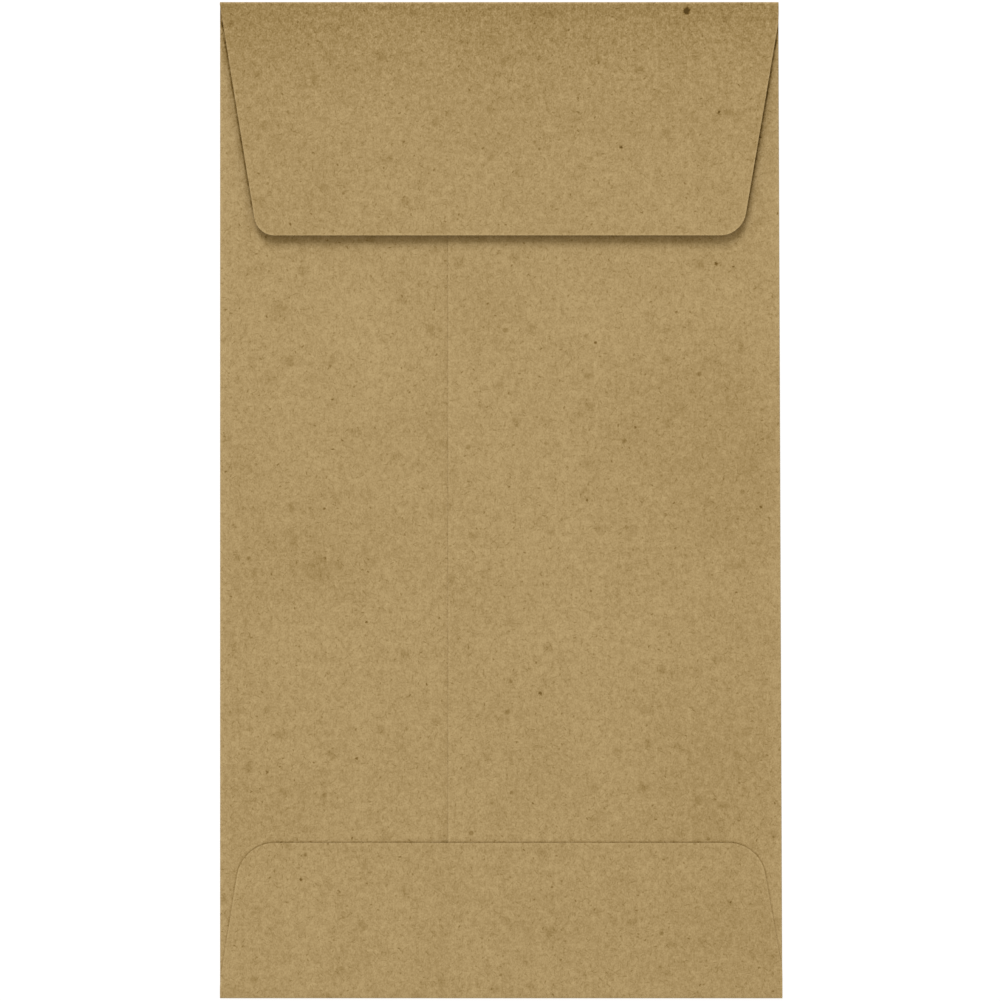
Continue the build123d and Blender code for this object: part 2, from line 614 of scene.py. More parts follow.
    def blank_point(self, panel: Panel, x: float, y: float) -> Vector:
        """Where a point of the folded envelope lies on the flat blank.

        Args:
            panel: The part of the sheet that the point is on.
            x: Across the envelope.
            y: Up the envelope.

        Returns:
            The point on the blank, on the sheet's outer side.
        """
        half_sheet = self.layers.sheet / 2
        if panel is Panel.NARROW:
            fold = self.outline.left + self.left_bend
            return Vector((fold - HALF_TURN * (self.left_bend - half_sheet) - (x - fold), y, 0.0))
        if panel is Panel.WIDE:
            fold = self.outline.right(y) - self.right_bend
            return Vector((fold + HALF_TURN * (self.right_bend - half_sheet) + (fold - x), y, 0.0))
        end = End.BOTTOM if panel is Panel.BOTTOM_FLAP else End.TOP
        start = self.end_bend(end)
        fold = self.cuts[end].fold_y + end.value * start
        leg = abs(y - fold)
        return Vector((x, fold - end.value * (HALF_TURN * (start - half_sheet) + leg), 0.0))


class SheetMesh:
    """Welds patches of the blank into one grid and gives it the thickness of the paper."""

    def __init__(self, thickness: float) -> None:
        """Start with an empty grid.

        Args:
            thickness: Thickness of the sheet.
        """
        self.thickness = thickness
        self.index: dict[tuple[int, int], int] = {}
        self.places: list[Array] = []
        self.blanks: list[Array] = []
        self.creases: list[float] = []
        self.flap_gaps: list[Array] = []
        self.quads: list[tuple[int, int, int, int]] = []

    def add(self, patch: Patch) -> None:
        """Add a patch, sharing the points that it has in common with those already there.

        Args:
            patch: The patch to add.
        """
        rows, columns = patch.crease.shape
        keys = np.round(patch.blank * 1e7).astype(np.int64)
        ids = np.empty((rows, columns), int)
        flap_gap = patch.flap_gap if patch.flap_gap is not None else np.full((rows, columns, 2), CUT_REACH)
        for row in range(rows):
            for column in range(columns):
                key = (int(keys[row, column, 0]), int(keys[row, column, 1]))
                if key not in self.index:
                    self.index[key] = len(self.places)
                    self.places.append(patch.place[row, column])
                    self.blanks.append(patch.blank[row, column])
                    self.creases.append(float(patch.crease[row, column]))
                    self.flap_gaps.append(flap_gap[row, column])
                ids[row, column] = self.index[key]
        for row in range(rows - 1):
            for column in range(columns - 1):
                self.quads.append(
                    (ids[row, column], ids[row, column + 1], ids[row + 1, column + 1], ids[row + 1, column])
                )

    def turned_alike(self) -> Array:
        """The quads, each turned anticlockwise on the blank, so that their normals are on the inner side."""
        quads = np.array(self.quads)
        blank = np.array(self.blanks)
        one = blank[quads[:, 2]] - blank[quads[:, 0]]
        other = blank[quads[:, 3]] - blank[quads[:, 1]]
        clockwise = one[:, 0] * other[:, 1] - one[:, 1] * other[:, 0] < 0
        quads[clockwise] = quads[clockwise][:, ::-1]
        return quads

    @staticmethod
    def inner_normals(places: Array, quads: Array) -> Array:
        """Unit normals of the grid's points, towards the inner side of the sheet.

        Args:
            places: The points.
            quads: The quads, turned alike.

        Returns:
            One normal for each point.
        """
        across = np.cross(places[quads[:, 2]] - places[quads[:, 0]], places[quads[:, 3]] - places[quads[:, 1]])
        unit = across / np.linalg.norm(across, axis=1, keepdims=True)
        normals = np.zeros_like(places)
        for corner in range(4):
            np.add.at(normals, quads[:, corner], unit)
        return normals / np.linalg.norm(normals, axis=1, keepdims=True)

    @staticmethod
    def cut_edges(quads: Array) -> Array:
        """The edges that only one quad uses, each in the direction in which its quad runs."""
        edges = np.concatenate([quads[:, [i, (i + 1) % 4]] for i in range(4)])
        _, first, counts = np.unique(np.sort(edges, axis=1), axis=0, return_index=True, return_counts=True)
        return edges[first[counts == 1]]

    @staticmethod
    def cut_distances(blank: Array, cuts: Array, limit: float) -> Array:
        """Distance on the blank from each point to the nearest cut edge.

        Args:
            blank: The points on the blank.
            cuts: The cut edges, as pairs of points.
            limit: The largest distance to tell.

        Returns:
            One distance for each point, at most the limit.
        """
        start = blank[cuts[:, 0]]
        run = blank[cuts[:, 1]] - start
        length_squared = np.maximum((run**2).sum(axis=1), 1e-18)
        nearest = np.full(len(blank), limit)
        for chunk in np.array_split(np.arange(len(blank)), max(1, len(blank) // 2000)):
            away = blank[chunk][:, None, :] - start[None]
            share = np.clip((away * run[None]).sum(axis=2) / length_squared, 0.0, 1.0)
            gap = away - share[..., None] * run[None]
            nearest[chunk] = np.minimum(limit, np.sqrt((gap**2).sum(axis=2)).min(axis=1))
        return nearest

    def build(self, name: str) -> bpy.types.Object:
        """Make the closed mesh of the sheet: its outer side, its inner side and its cut edges.

        Args:
            name: Name of the new object.

        Returns:
            The object, linked into the scene, with its blank, cut and crease attributes and its bake map.
        """
        places = np.array(self.places)
        blank = np.array(self.blanks)
        quads = self.turned_alike()
        normals = self.inner_normals(places, quads)
        cuts = self.cut_edges(quads)
        count = len(places)

        points = np.concatenate([places - normals * self.thickness / 2, places + normals * self.thickness / 2])
        rim = np.stack([cuts[:, 0], cuts[:, 1], cuts[:, 1] + count, cuts[:, 0] + count], axis=1)
        faces = np.concatenate([quads[:, ::-1], quads + count, rim])

        mesh = bpy.data.meshes.new(name)
        mesh.from_pydata(points.tolist(), [], faces.tolist())
        mesh.validate()
        mesh.shade_smooth()
        mesh.set_sharp_from_angle(angle=math.radians(40.0))

        side = np.concatenate([np.zeros(count), np.ones(count)])
        flat = np.concatenate([blank, blank])
        place_on_blank = np.column_stack([flat, side * INNER_SIDE_SHIFT]) / MM
        mesh.attributes.new("blank", "FLOAT_VECTOR", "POINT").data.foreach_set(
            "vector", place_on_blank.astype(np.float32).ravel()
        )
        distance = self.cut_distances(blank, cuts, CUT_REACH) / MM
        mesh.attributes.new("cut_distance", "FLOAT", "POINT").data.foreach_set(
            "value", np.concatenate([distance, distance]).astype(np.float32)
        )
        crease = np.array(self.creases)
        mesh.attributes.new("crease", "FLOAT", "POINT").data.foreach_set(
            "value", np.concatenate([crease, crease]).astype(np.float32)
        )
        flap_gaps = np.clip(np.array(self.flap_gaps), -CUT_REACH, CUT_REACH) / MM
        for end, column in zip(End, flap_gaps.T):
            mesh.attributes.new(f"{end.name.lower()}_flap_gap", "FLOAT", "POINT").data.foreach_set(
                "value", np.concatenate([column, np.full(count, CUT_REACH / MM)]).astype(np.float32)
            )
        BakeMap(blank, cuts, len(quads)).add_to(mesh, faces, count)

        envelope = bpy.data.objects.new(name, mesh)
        bpy.context.scene.collection.objects.link(envelope)
        return envelope


@dataclass(frozen=True)
class BakeMap:
    """Lays the blank out as it was cut, large for the outer side and small in a free corner for the inner side.

    Attributes:
        blank: The grid's points on the blank.
        cuts: The cut edges.
        sides: Number of faces on each side of the sheet.
        margin: Free border of the map.
        inner_scale: Size of the inner side against the outer one.
        rim_width: Width given to the cut edges, on the blank.
    """

    blank: Array
    cuts: Array
    sides: int
    margin: float = 0.008
    inner_scale: float = 0.15
    rim_width: float = 0.35 * MM

    def add_to(self, mesh: bpy.types.Mesh, faces: Array, count: int) -> None:
        """Write the map onto the mesh.

        Args:
            mesh: The closed mesh of the sheet.
            faces: Its faces: outer side, inner side, then cut edges.
            count: Number of points on each side.
        """
        low = self.blank.min(axis=0)
        scale = (1.0 - 2.0 * self.margin) / np.ptp(self.blank, axis=0).max()
        outer = self.margin + (self.blank - low) * scale
        corner = np.array([self.margin, 1.0 - self.margin - self.inner_scale * np.ptp(outer[:, 1])])
        inner = corner + (outer - outer.min(axis=0)) * self.inner_scale

        run = self.blank[self.cuts[:, 1]] - self.blank[self.cuts[:, 0]]
        away = np.stack([run[:, 1], -run[:, 0]], axis=1)
        away = away / np.maximum(np.linalg.norm(away, axis=1, keepdims=True), 1e-12) * self.rim_width * scale
        near = outer[self.cuts]
        far = near + away[:, None, :]
        rim_corners = np.stack([near[:, 0], near[:, 1], far[:, 1], far[:, 0]], axis=1)

        corners = np.concatenate(
            [
                outer[faces[: self.sides]],
                inner[faces[self.sides : 2 * self.sides] - count],
                rim_corners,
            ]
        )
        layer = mesh.uv_layers.new(name="OFBake")
        layer.uv.foreach_set("vector", corners.astype(np.float32).ravel())


class Graph:
    """A material's node tree, with one method for each kind of node that the finishes use."""

    def __init__(self, name: str) -> None:
        """Start a new material.

        Args:
            name: Name of the material.
        """
        self.material = bpy.data.materials.new(name)
        self.material.use_nodes = True
        self.tree = self.material.node_tree
        self.tree.nodes.clear()

    def node(self, kind: str, **settings: object) -> bpy.types.Node:
        """Add a node and set its properties."""
        made = self.tree.nodes.new(kind)
        for name, value in settings.items():
            setattr(made, name, value)
        return made

    def feed(self, socket: bpy.types.NodeSocket, source: Source) -> None:
        """Link a source to a socket, or set the socket if the source is a plain value."""
        if isinstance(source, bpy.types.NodeSocket):
            self.tree.links.new(source, socket)
        else:
            socket.default_value = source

    def attribute(self, name: str, output: str) -> bpy.types.NodeSocket:
        """Read an attribute of the mesh."""
        return self.node("ShaderNodeAttribute", attribute_name=name).outputs[output]

    def math(self, operation: str, first: Source, second: Source = 0.0, clamp: bool = False) -> bpy.types.NodeSocket:
        """Combine two numbers."""
        made = self.node("ShaderNodeMath", operation=operation, use_clamp=clamp)
        self.feed(made.inputs[0], first)
        self.feed(made.inputs[1], second)
        return made.outputs[0]

    def vector(self, operation: str, first: Source, second: Source | Vector) -> bpy.types.NodeSocket:
        """Combine two vectors, giving a number for a distance and a vector otherwise."""
        made = self.node("ShaderNodeVectorMath", operation=operation)
        self.feed(made.inputs[0], first)
        self.feed(made.inputs[1], second)
        return made.outputs["Value" if operation == "DISTANCE" else "Vector"]

    def scaled(self, source: Source, by: tuple[float, float, float], shift: float = 0.0) -> bpy.types.NodeSocket:
        """Stretch a vector along its axes and shift it off by a distance that is a pattern's own."""
        made = self.node("ShaderNodeMapping")
        self.feed(made.inputs["Vector"], source)
        made.inputs["Scale"].default_value = by
        made.inputs["Location"].default_value = (shift, shift * 0.7, shift * 0.3)
        return made.outputs[0]

    def noise(self, place: Source, size: float, detail: float = 0.0, roughness: float = 0.5) -> bpy.types.NodeSocket:
        """Cloudy pattern about 0, with patches of a size in millimetres."""
        made = self.node("ShaderNodeTexNoise", noise_dimensions="3D")
        self.feed(made.inputs["Vector"], place)
        made.inputs["Scale"].default_value = 1.0 / size
        made.inputs["Detail"].default_value = detail
        made.inputs["Roughness"].default_value = roughness
        return self.math("SUBTRACT", made.outputs[0], 0.5)

    def eased(
        self, value: Source, start: Source, end: Source, low: float = 0.0, high: float = 1.0
    ) -> bpy.types.NodeSocket:
        """Ease from low where the value is at start to high where it is at end."""
        made = self.node("ShaderNodeMapRange", interpolation_type="SMOOTHSTEP")
        self.feed(made.inputs["Value"], value)
        self.feed(made.inputs["From Min"], start)
        self.feed(made.inputs["From Max"], end)
        self.feed(made.inputs["To Min"], low)
        self.feed(made.inputs["To Max"], high)
        return made.outputs[0]

    def total(self, terms: Iterable[bpy.types.NodeSocket]) -> bpy.types.NodeSocket:
        """Add up any number of terms."""
        parts = list(terms)
        made = parts[0]
        for term in parts[1:]:
            made = self.math("ADD", made, term)
        return made


@dataclass(frozen=True)
class Fleck:
    """A dark inclusion in the paper.

    Attributes:
        panel: The part of the sheet that it is on.
        x: Across the envelope, in millimetres.
        y: Up the envelope, in millimetres.
        radius: Its radius, in millimetres.
        depth: How much darker it makes the paper.
    """

    panel: Panel
    x: float
    y: float
    radius: float
    depth: float = 0.16


@dataclass(frozen=True)
class Tone:
    """A soft stretch of lighter or darker paper.

    Attributes:
        panel: The part of the sheet that it is on.
        x: Across the envelope, in millimetres.
        y: Up the envelope, in millimetres.
        reach: How far it spreads, in millimetres.
        change: How much lighter it makes the paper, or darker below 0.
    """

    panel: Panel
    x: float
    y: float
    reach: float
    change: float


@dataclass(frozen=True)
class Mottle:
    """One size of cloudy variation in the pulp.

    Attributes:
        size: Size of its patches, in millimetres.
        strength: How much it changes the tone.
        detail: Number of finer sizes that it carries.
        shift: Where the pattern starts, so that no two are alike.
    """

    size: float
    strength: float
    detail: float
    shift: float


@dataclass(frozen=True)
class Fibres:
    """One layer of short fibres, each in a cell of its own.

    Attributes:
        spacing: Distance between fibres, in millimetres.
        length: Half length of a fibre, in millimetres.
        width: Half width of a fibre, in millimetres.
        change: How much lighter a fibre is than the pulp, or darker below 0.
        shift: Where the pattern starts.
    """

    spacing: float
    length: float
    width: float
    change: float
    shift: float


@dataclass(frozen=True)
class KraftPaper:
    """Unbleached kraft paper: brown pulp with mottle, fibres and bark flecks, cut edges and creases that are paler
    partly as painted light, and painted shade near the closing fold, along the flaps' edges and beside the seam.

    A tone is the paper's lightness as the eye sees it, from 0 to 1. The pulp holds the colour of each
    tone, and sizes and reaches are in millimetres.
    """

    tone: float = 0.558
    pulp: tuple[tuple[float, tuple[float, float, float]], ...] = (
        (0.26, (0.092, 0.050, 0.007)),
        (0.332, (0.184, 0.105, 0.021)),
        (0.473, (0.323, 0.214, 0.077)),
        (0.539, (0.402, 0.277, 0.118)),
        (0.584, (0.466, 0.330, 0.149)),
        (0.66, (0.545, 0.398, 0.190)),
    )
    grain: tuple[float, float, float] = (1.14, 0.84, 1.0)
    mottles: tuple[Mottle, ...] = (
        Mottle(0.27, 0.090, 1.0, 0.0),
        Mottle(0.72, 0.066, 1.0, 31.0),
        Mottle(1.9, 0.038, 1.0, 57.0),
        Mottle(7.0, 0.018, 1.0, 71.0),
        Mottle(26.0, 0.022, 1.0, 83.0),
    )
    fibres: tuple[Fibres, ...] = (
        Fibres(1.15, 0.45, 0.050, -0.040, 11.0),
        Fibres(1.60, 0.65, 0.045, -0.034, 23.0),
        Fibres(1.45, 0.60, 0.050, 0.018, 37.0),
        Fibres(1.90, 0.22, 0.085, -0.050, 53.0),
        Fibres(4.10, 0.26, 0.090, -0.085, 61.0),
        Fibres(6.50, 0.95, 0.480, -0.030, 97.0),
    )
    fleck_spacing: float = 6.0
    fleck_depth: float = 0.08
    ragged_reach: float = 0.34
    # Painted shade: the paper is painted darker near the closing fold, with more mottle there.
    fold_painted_shade: float = -0.094
    fold_painted_shade_reach: float = 8.5
    fold_painted_shade_mottle: float = 0.8
    # Cut edges are paler, partly from bare fibres and partly as a painted highlight where an edge catches the light.
    cut_paleness_and_highlight: float = 0.030
    cut_reach: float = 0.42
    # Creases are paler, partly from cracked fibres and partly as painted light that lifts the shade of the folds.
    crease_paleness_and_light: float = 0.09
    seam_shade: float = -0.013
    roughness: float = 0.86
    bump_height: float = 0.2

    def painted_flap_shade_line(
        self, graph: Graph, attribute: str, depth: float, width: float, uneven: bpy.types.NodeSocket
    ) -> bpy.types.NodeSocket:
        """A fine painted shade line on the seam panels along the edge of a flap that lies on them, where the flap's
        edge shades them.

        Args:
            graph: The material's node tree.
            attribute: The mesh attribute that holds the distance from the flap.
            depth: How dark the line is.
            width: How far it reaches from the flap, in millimetres.
            uneven: Number about 1 that makes the line stronger and weaker along its length.

        Returns:
            The change of tone.
        """
        gap = graph.attribute(attribute, "Fac")
        line = graph.eased(gap, width * 0.55, width * 1.25, -depth, 0.0)
        return graph.math("MULTIPLY", line, uneven)

    def fibre_layer(self, graph: Graph, place: bpy.types.NodeSocket, layer: Fibres) -> bpy.types.NodeSocket:
        """One layer of fibres, as a change of tone.

        Args:
            graph: The material's node tree.
            place: Where the surface lies on the blank.
            layer: The fibres' sizes.

        Returns:
            The change of tone.
        """
        moved = graph.scaled(place, (1.0, 1.0, 0.0), layer.shift)
        cells = graph.node("ShaderNodeTexVoronoi", voronoi_dimensions="2D", feature="F1")
        graph.feed(cells.inputs["Vector"], moved)
        cells.inputs["Scale"].default_value = 1.0 / layer.spacing
        cells.inputs["Randomness"].default_value = 1.0
        lot = graph.node("ShaderNodeSeparateColor")
        graph.feed(lot.inputs[0], cells.outputs["Color"])
        offset = graph.vector("SUBTRACT", moved, cells.outputs["Position"])
        turn = graph.node("ShaderNodeVectorRotate", rotation_type="Z_AXIS")
        graph.feed(turn.inputs["Vector"], offset)
        graph.feed(turn.inputs["Angle"], graph.math("MULTIPLY", lot.outputs[0], HALF_TURN))
        parts = graph.node("ShaderNodeSeparateXYZ")
        graph.feed(parts.inputs[0], turn.outputs[0])
        along = parts.outputs[0]
        curl = graph.math("MULTIPLY", graph.math("SUBTRACT", lot.outputs[1], 0.5), 0.5 / layer.length)
        bow = graph.math("MULTIPLY", graph.math("MULTIPLY", along, along), curl)
        across = graph.math("ABSOLUTE", graph.math("ADD", parts.outputs[1], bow))
        thin = graph.eased(across, 0.0, layer.width * 2.0, 1.0, 0.0)
        short = graph.eased(graph.math("ABSOLUTE", along), layer.length * 0.5, layer.length, 1.0, 0.0)
        shown = graph.math("MULTIPLY", thin, short)
        strength = graph.math("MULTIPLY", lot.outputs[2], layer.change * 2.0)
        return graph.math("MULTIPLY", shown, strength)

    def scattered_flecks(self, graph: Graph, place: bpy.types.NodeSocket) -> bpy.types.NodeSocket:
        """Small bark flecks all over the sheet, as a change of tone."""
        ragged = graph.node("ShaderNodeTexNoise")
        graph.feed(ragged.inputs["Vector"], place)
        ragged.inputs["Scale"].default_value = 5.0
        ragged.inputs["Detail"].default_value = 0.0
        push = graph.vector("MULTIPLY", ragged.outputs["Color"], Vector((0.25, 0.25, 0.0)))
        moved = graph.vector("ADD", graph.scaled(place, (1.0, 1.0, 0.0), 71.0), push)
        cells = graph.node("ShaderNodeTexVoronoi", voronoi_dimensions="2D", feature="F1")
        graph.feed(cells.inputs["Vector"], moved)
        cells.inputs["Scale"].default_value = 1.0 / self.fleck_spacing
        lot = graph.node("ShaderNodeSeparateColor")
        graph.feed(lot.inputs[0], cells.outputs["Color"])
        large = graph.math("POWER", lot.outputs[0], 5.0)
        radius = graph.math("MULTIPLY_ADD", large, 0.045)
        radius.node.inputs[2].default_value = 0.012
        outer, inner = (graph.math("MULTIPLY", radius, share) for share in (1.7, 0.5))
        inside = graph.eased(cells.outputs["Distance"], outer, inner)
        dark = graph.math("MULTIPLY", lot.outputs[1], -self.fleck_depth * 1.6)
        return graph.math("MULTIPLY", inside, dark)

    def placed_marks(
        self, graph: Graph, place: bpy.types.NodeSocket, sheet: FoldedSheet
    ) -> list[bpy.types.NodeSocket]:
        """The flecks and tones that this sheet has in known places, as changes of tone.

        Args:
            graph: The material's node tree.
            place: Where the surface lies on the blank.
            sheet: The folded sheet, which tells where a place lies on the blank.

        Returns:
            One change of tone for each mark.
        """
        ragged = graph.node("ShaderNodeTexNoise")
        graph.feed(ragged.inputs["Vector"], place)
        ragged.inputs["Scale"].default_value = 3.3
        ragged.inputs["Detail"].default_value = 1.0
        reach = Vector((self.ragged_reach, self.ragged_reach, 0.0))
        push = graph.vector("MULTIPLY", ragged.outputs["Color"], reach)
        centred = graph.vector("SUBTRACT", push, reach / 2)
        rough_place = graph.vector("ADD", place, centred)
        changes = []
        for fleck in FLECKS:
            spot = sheet.blank_point(fleck.panel, fleck.x * MM, fleck.y * MM) / MM
            distance = graph.vector("DISTANCE", rough_place, spot)
            changes.append(graph.eased(distance, fleck.radius * 0.45, fleck.radius * 1.5, -fleck.depth, 0.0))
        for tone in TONES:
            spot = sheet.blank_point(tone.panel, tone.x * MM, tone.y * MM) / MM
            distance = graph.vector("DISTANCE", place, spot)
            changes.append(graph.eased(distance, 0.0, tone.reach, tone.change, 0.0))
        return changes

    def make(self, sheet: FoldedSheet) -> bpy.types.Material:
        """Make the material.

        Args:
            sheet: The folded sheet that it is for.

        Returns:
            The finished material.
        """
        graph = Graph("kraft_paper")
        place = graph.attribute("blank", "Vector")
        grained = graph.scaled(place, self.grain)

        mottle = []
        for size in self.mottles:
            moved = graph.scaled(grained, (1.0, 1.0, 1.0), size.shift)
            cloud = graph.noise(moved, size.size, size.detail, 0.6)
            mottle.append(graph.math("MULTIPLY", cloud, size.strength * 2.0))
        fibres = [self.fibre_layer(graph, place, layer) for layer in self.fibres]
        flecks = self.scattered_flecks(graph, place)

        split = graph.node("ShaderNodeSeparateXYZ")
        graph.feed(split.inputs[0], place)
        # Painted shade: darker paper on both sides of the closing fold, fading away from it and made patchy by the two
        # finest mottles.
        fold_line = sheet.outline.top / MM
        from_fold = graph.math("ABSOLUTE", graph.math("SUBTRACT", split.outputs[1], fold_line))
        fade = graph.math("EXPONENT", graph.math("MULTIPLY", from_fold, -1.0 / self.fold_painted_shade_reach))
        patchy = graph.math("MULTIPLY", graph.total(mottle[:2]), self.fold_painted_shade_mottle)
        painted_fold_shade = graph.math("MULTIPLY", fade, graph.math("ADD", patchy, self.fold_painted_shade))

        # Paler cut edges: partly bare fibres, partly a painted highlight.
        cut = graph.eased(graph.attribute("cut_distance", "Fac"), 0.0, self.cut_reach, self.cut_paleness_and_highlight, 0.0)
        # Paler creases: partly cracked fibres, partly painted light.
        crease = graph.math("MULTIPLY", graph.attribute("crease", "Fac"), self.crease_paleness_and_light)

        uneven = graph.math("ADD", graph.math("MULTIPLY", graph.noise(place, 1.1, 1.0), 2.4), 1.0)
        glued, loose = sheet.cuts[End.BOTTOM], sheet.cuts[End.TOP]
        glued_start, glued_end = ((glued.edge_y - share * glued.corner) / MM for share in (1.4, 0.4))
        loose_start, loose_end = ((loose.edge_y + share * loose.corner) / MM for share in (0.5, 1.5))
        firm = graph.eased(split.outputs[1], glued_start, glued_end, 0.6, 1.0)
        beside = graph.eased(split.outputs[1], loose_start, loose_end)
        narrow_seam = sheet.blank_point(Panel.NARROW, sheet.layers.seam_x, 0.0).x / MM
        beside_seam = graph.math("SUBTRACT", split.outputs[0], narrow_seam)
        seam_shade = graph.math(
            "MULTIPLY", graph.eased(beside_seam, 0.2, 1.0, self.seam_shade, 0.0), graph.eased(beside_seam, -0.2, 0.0)
        )
        # Painted shade: a fine line along the bottom flap's edge, a darker line along the closing flap's sides, a soft
        # strip about 1 mm wide round the closing flap, and a soft strip beside the seam.
        lines = [
            self.painted_flap_shade_line(graph, "bottom_flap_gap", 0.066, 0.26, graph.math("MULTIPLY", uneven, firm)),
            self.painted_flap_shade_line(graph, "top_flap_gap", 0.14, 0.36, graph.math("MULTIPLY", uneven, beside)),
            self.painted_flap_shade_line(graph, "top_flap_gap", 0.03, 1.0, uneven),
            seam_shade,
        ]

        terms = [*mottle, *fibres, flecks, painted_fold_shade, cut, crease, *lines, *self.placed_marks(graph, place, sheet)]
        tone = graph.math("ADD", graph.total(terms), self.tone)

        ramp = graph.node("ShaderNodeValToRGB")
        graph.feed(ramp.inputs[0], tone)
        for position, colour in self.pulp[1:-1]:
            ramp.color_ramp.elements.new(position).color = (*colour, 1.0)
        stops = ramp.color_ramp.elements
        for stop, (position, colour) in zip((stops[0], stops[-1]), (self.pulp[0], self.pulp[-1])):
            stop.position = position
            stop.color = (*colour, 1.0)

        height = graph.total([mottle[0], *fibres[:3]])
        bump = graph.node("ShaderNodeBump")
        bump.inputs["Strength"].default_value = 1.0
        bump.inputs["Distance"].default_value = self.bump_height * MM
        graph.feed(bump.inputs["Height"], height)

        paper = graph.node("ShaderNodeBsdfPrincipled")
        graph.feed(paper.inputs["Base Color"], ramp.outputs[0])
        rough = graph.math("MULTIPLY_ADD", mottle[1], -0.8)
        rough.node.inputs[2].default_value = self.roughness
        graph.feed(paper.inputs["Roughness"], rough)
        paper.inputs["Specular IOR Level"].default_value = 0.18
        graph.feed(paper.inputs["Normal"], bump.outputs[0])
        output = graph.node("ShaderNodeOutputMaterial")
        graph.feed(output.inputs["Surface"], paper.outputs[0])
        return graph.material


FLECKS = (
    Fleck(Panel.CLOSING_FLAP, 28.35, 74.8, 0.50, 0.27),
    Fleck(Panel.CLOSING_FLAP, 18.3, 53.9, 0.24, 0.27),
    Fleck(Panel.CLOSING_FLAP, 33.3, 59.3, 0.20, 0.24),
    Fleck(Panel.CLOSING_FLAP, -32.2, 42.2, 0.20, 0.20),
    Fleck(Panel.WIDE, 32.9, 36.2, 0.24, 0.24),
    Fleck(Panel.WIDE, 14.4, 24.3, 0.22, 0.24),
    Fleck(Panel.WIDE, 13.1, 0.2, 0.20, 0.20),
    Fleck(Panel.WIDE, 30.3, 19.4, 0.32, 0.15),
    Fleck(Panel.WIDE, 39.7, -1.0, 0.20, 0.20),
    Fleck(Panel.WIDE, 20.5, 11.3, 0.18, 0.20),
    Fleck(Panel.WIDE, 6.0, -29.2, 0.26, 0.23),
    Fleck(Panel.WIDE, 26.8, 28.9, 0.18, 0.16),
    Fleck(Panel.NARROW, -20.6, -18.6, 0.20, 0.20),
    Fleck(Panel.NARROW, -22.1, -39.5, 0.20, 0.20),
    Fleck(Panel.NARROW, -35.8, -41.6, 0.20, 0.19),
    Fleck(Panel.NARROW, -27.0, -1.3, 0.18, 0.18),
    Fleck(Panel.BOTTOM_FLAP, -30.6, -58.1, 0.20, 0.23),
    Fleck(Panel.BOTTOM_FLAP, 7.8, -59.1, 0.18, 0.16),
)

TONES = (
    Tone(Panel.NARROW, -24.0, 22.0, 22.0, 0.014),
    Tone(Panel.NARROW, -31.0, -9.5, 15.0, -0.014),
    Tone(Panel.NARROW, -33.8, 28.8, 2.6, -0.045),
    Tone(Panel.NARROW, -27.9, -10.7, 2.6, -0.040),
    Tone(Panel.NARROW, -35.4, 18.4, 2.4, -0.030),
    Tone(Panel.WIDE, 36.0, 5.0, 24.0, -0.016),
    Tone(Panel.WIDE, 36.0, -45.0, 26.0, -0.016),
    Tone(Panel.WIDE, 6.0, -12.0, 20.0, 0.006),
    Tone(Panel.BOTTOM_FLAP, 36.0, -66.0, 18.0, -0.014),
)


@dataclass(frozen=True)
class PaleFloor:
    """A plain pale floor that shows white and keeps a faint shadow under what lies on it."""

    size: float = 6.0
    drop: float = 0.02 * MM
    lit_colour: float = 0.80
    seen_colour: float = 0.16
    seen_glow: float = 0.90

    def material(self) -> bpy.types.Material:
        """Make the floor's material."""
        graph = Graph("pale_floor")
        path = graph.node("ShaderNodeLightPath")
        seen = graph.math("MAXIMUM", path.outputs["Is Camera Ray"], path.outputs["Is Glossy Ray"])
        seen = graph.math("MAXIMUM", seen, path.outputs["Is Transmission Ray"])
        matt = graph.node("ShaderNodeBsdfDiffuse")
        matt.inputs["Color"].default_value = (self.lit_colour,) * 3 + (1.0,)
        shadow = graph.node("ShaderNodeBsdfDiffuse")
        shadow.inputs["Color"].default_value = (self.seen_colour,) * 3 + (1.0,)
        glow = graph.node("ShaderNodeEmission")
        glow.inputs["Strength"].default_value = self.seen_glow
        white = graph.node("ShaderNodeAddShader")
        graph.feed(white.inputs[0], shadow.outputs[0])
        graph.feed(white.inputs[1], glow.outputs[0])
        mix = graph.node("ShaderNodeMixShader")
        graph.feed(mix.inputs[0], seen)
        graph.feed(mix.inputs[1], matt.outputs[0])
        graph.feed(mix.inputs[2], white.outputs[0])
        output = graph.node("ShaderNodeOutputMaterial")
        graph.feed(output.inputs["Surface"], mix.outputs[0])
        return graph.material

    def make(self, ground: float) -> bpy.types.Object:
        """Lay the floor.

        Args:
            ground: Height of the underside of what lies on it.

        Returns:
            The floor.
        """
        half = self.size / 2
        mesh = bpy.data.meshes.new("floor")
        corners = [(-half, -half, 0.0), (half, -half, 0.0), (half, half, 0.0), (-half, half, 0.0)]
        mesh.from_pydata(corners, [], [(0, 1, 2, 3)])
        mesh.materials.append(self.material())
        floor = bpy.data.objects.new("floor", mesh)
        floor.location.z = ground - self.drop
        bpy.context.scene.collection.objects.link(floor)
        return floor


